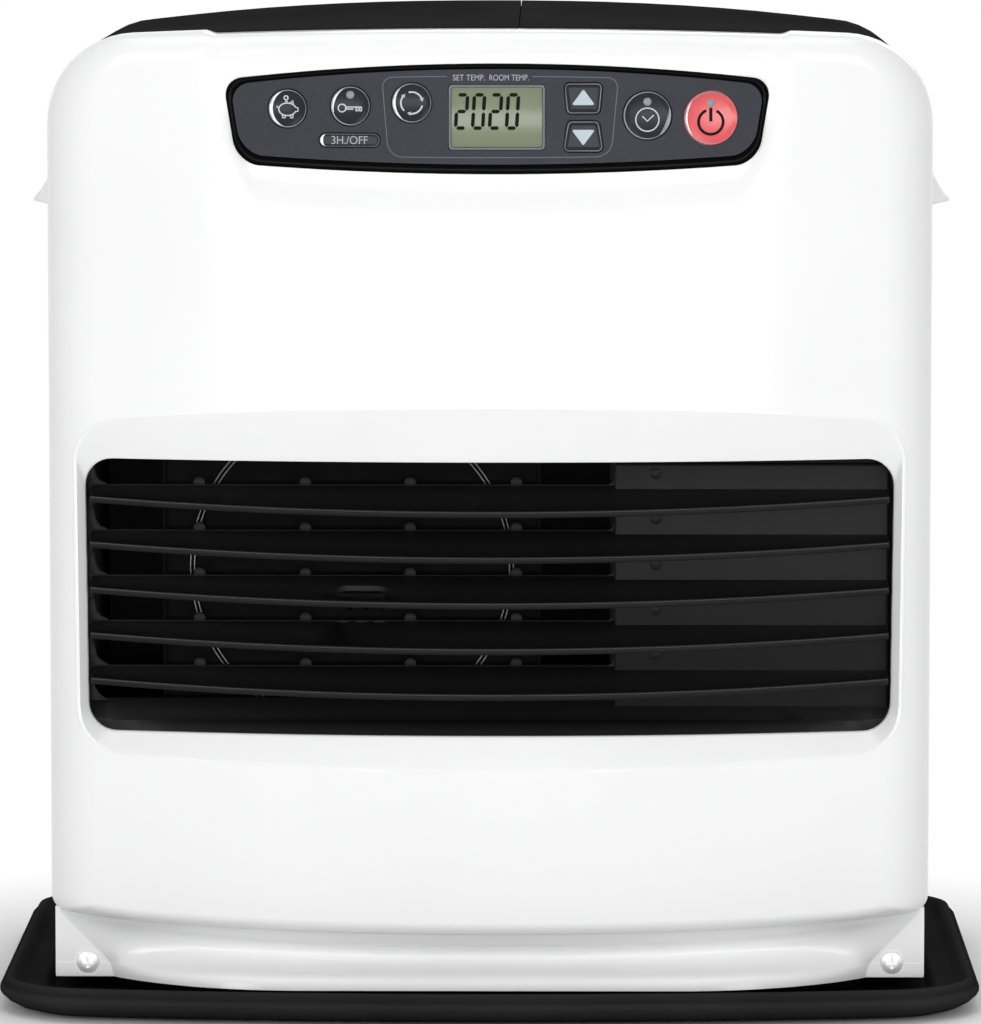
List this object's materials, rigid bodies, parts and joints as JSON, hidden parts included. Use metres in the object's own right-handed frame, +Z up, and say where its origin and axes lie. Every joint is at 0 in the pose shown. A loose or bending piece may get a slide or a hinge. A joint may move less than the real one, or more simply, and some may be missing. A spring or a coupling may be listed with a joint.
{
  "type": "paraffin fan heater",
  "caption": "Fan-assisted paraffin heater: bowed white front with louvred outlet, control panel, black top with tank lid, drip tray.",
  "frame": {"origin": "centre of the drip tray's footprint, on the floor", "axes": "+X to the viewer's right, +Y from the front to the rear, +Z up"},
  "size_m": [0.424, 0.299, 0.429],
  "materials": {
    "front_white": "satin, fine orange peel",
    "cabinet_white": "satin",
    "grip_white": "satin",
    "tray_black": "satin",
    "top_black": "satin",
    "grille_black": "satin",
    "bezel_black": "gloss",
    "fascia_slate": "satin, speckled",
    "button_slate": "gloss",
    "button_red": "gloss",
    "display_glass": "gloss",
    "board_green": "satin",
    "ribbon_grey": "matt",
    "base_steel": "satin",
    "zinc_screws": "zinc plated",
    "screen_dark": "matt",
    "bright_steel": "bright",
    "burner_steel": "heat tinted",
    "tank_steel": "galvanised",
    "handle_steel": "bright",
    "cap_red": "satin",
    "valve_brass": "satin",
    "gauge_white": "gloss",
    "strainer_cream": "satin",
    "pump_steel": "satin",
    "pipe_copper": "satin",
    "probe_ceramic": "matt",
    "motor_grey": "satin",
    "fan_metal": "satin",
    "guard_black": "satin",
    "filter_black": "matt",
    "blower_cream": "satin",
    "impeller_dark": "satin",
    "coil_black": "satin",
    "inlet_rubber": "matt"
  },
  "bodies": {
    "cabinet": {"front_panel": "front_white", "left_side_panel": "cabinet_white", "right_side_panel": "cabinet_white", "rear_panel": "cabinet_white", "left_grip": "grip_white", "right_grip": "grip_white", "base_tray": "tray_black", "top_cover": "top_black", "louvre_grille": "grille_black", "control_bezel": "bezel_black", "control_fascia": "fascia_slate", "lcd_display": "display_glass", "control_board": "board_green", "main_board": "board_green", "control_harness": "ribbon_grey", "base_plate": "base_steel", "tray_screws": "zinc_screws", "front_screws": "zinc_screws", "cabinet_screws": "zinc_screws", "lid_hinge_pins": "zinc_screws", "burner_screen": "screen_dark", "screen_ring": "bright_steel", "combustion_chamber": "bright_steel", "air_duct": "bright_steel", "fan_shroud": "bright_steel", "burner_pot": "bright_steel", "tank_partition": "bright_steel", "board_bracket": "bright_steel", "burner_head": "burner_steel", "fuel_sump": "tank_steel", "fuel_strainer": "strainer_cream", "fuel_pump": "pump_steel", "fuel_pipe": "pipe_copper", "igniter": "probe_ceramic", "flame_sensor": "probe_ceramic", "overheat_thermostat": "probe_ceramic", "fan_motor": "motor_grey", "fan_guard": "guard_black", "filter_rails": "filter_black", "blower_housing": "blower_cream", "ignition_coil": "coil_black", "tip_switch": "coil_black", "cord_inlet": "inlet_rubber"},
    "lid": {"tank_lid": "top_black"},
    "tank": {"fuel_tank": "tank_steel", "fuel_gauge": "gauge_white"},
    "handle": {"tank_handle": "handle_steel"},
    "cap": {"tank_cap": "cap_red"},
    "valve": {"cap_valve": "valve_brass"},
    "filter": {"air_filter": "filter_black"},
    "warm_fan": {"warm_air_fan": "fan_metal"},
    "impeller": {"blower_impeller": "impeller_dark"},
    "eco_button": {"eco_button": "button_slate"},
    "lock_button": {"lock_button": "button_slate"},
    "cycle_button": {"cycle_button": "button_slate"},
    "off_button": {"off_button": "button_slate"},
    "up_button": {"up_button": "button_slate"},
    "down_button": {"down_button": "button_slate"},
    "timer_button": {"timer_button": "button_slate"},
    "power_button": {"power_button": "button_red"}
  },
  "joints": [
    {"name": "lid_hinge", "type": "hinge", "parent": "cabinet", "child": "lid", "pos_m": [0.095, 0.1188, 0.4006], "axis": [-1, 0, 0], "range_deg": [0, 105]},
    {"name": "tank_lift", "type": "slide", "parent": "cabinet", "child": "tank", "axis": [0, 0, 1], "range_m": [0, 0.115]},
    {"name": "handle_swing", "type": "hinge", "parent": "tank", "child": "handle", "pos_m": [0.1142, 0.016, 0.3995], "axis": [-1, 0, 0], "range_deg": [0, 88]},
    {"name": "cap_turn", "type": "hinge", "parent": "tank", "child": "cap", "pos_m": [0.1142, 0.016, 0.052], "axis": [0, 0, 1], "range_deg": [-90, 270]},
    {"name": "valve_lift", "type": "slide", "parent": "cap", "child": "valve", "axis": [0, 0, 1], "range_m": [0, 0.003], "stiffness_N_per_m": 60},
    {"name": "filter_slide", "type": "slide", "parent": "cabinet", "child": "filter", "axis": [0, 0, 1], "range_m": [0, 0.05]},
    {"name": "warm_fan_spin", "type": "hinge", "parent": "cabinet", "child": "warm_fan", "pos_m": [-0.06, 0.085, 0.182], "axis": [0, 1, 0], "continuous": true},
    {"name": "impeller_spin", "type": "hinge", "parent": "cabinet", "child": "impeller", "pos_m": [-0.1382, 0.04161, 0.045], "axis": [0, 0, 1], "continuous": true},
    {"name": "eco_press", "type": "slide", "parent": "cabinet", "child": "eco_button", "axis": [0, 1, 0], "range_m": [0, 0.0006], "stiffness_N_per_m": 500},
    {"name": "lock_press", "type": "slide", "parent": "cabinet", "child": "lock_button", "axis": [0, 1, 0], "range_m": [0, 0.0006], "stiffness_N_per_m": 500},
    {"name": "cycle_press", "type": "slide", "parent": "cabinet", "child": "cycle_button", "axis": [0, 1, 0], "range_m": [0, 0.0006], "stiffness_N_per_m": 500},
    {"name": "off_press", "type": "slide", "parent": "cabinet", "child": "off_button", "axis": [0, 1, 0], "range_m": [0, 0.0006], "stiffness_N_per_m": 500},
    {"name": "up_press", "type": "slide", "parent": "cabinet", "child": "up_button", "axis": [0, 1, 0], "range_m": [0, 0.0006], "stiffness_N_per_m": 500},
    {"name": "down_press", "type": "slide", "parent": "cabinet", "child": "down_button", "axis": [0, 1, 0], "range_m": [0, 0.0006], "stiffness_N_per_m": 500},
    {"name": "timer_press", "type": "slide", "parent": "cabinet", "child": "timer_button", "axis": [0, 1, 0], "range_m": [0, 0.0006], "stiffness_N_per_m": 500},
    {"name": "power_press", "type": "slide", "parent": "cabinet", "child": "power_button", "axis": [0, 1, 0], "range_m": [0, 0.0006], "stiffness_N_per_m": 500}
  ],
  "couplings": [
    {"joint": "tank_lift", "follows": "lid_hinge", "m_per_rad": 0.06},
    {"joint": "handle_swing", "follows": "lid_hinge", "ratio": 0.8}
  ]
}
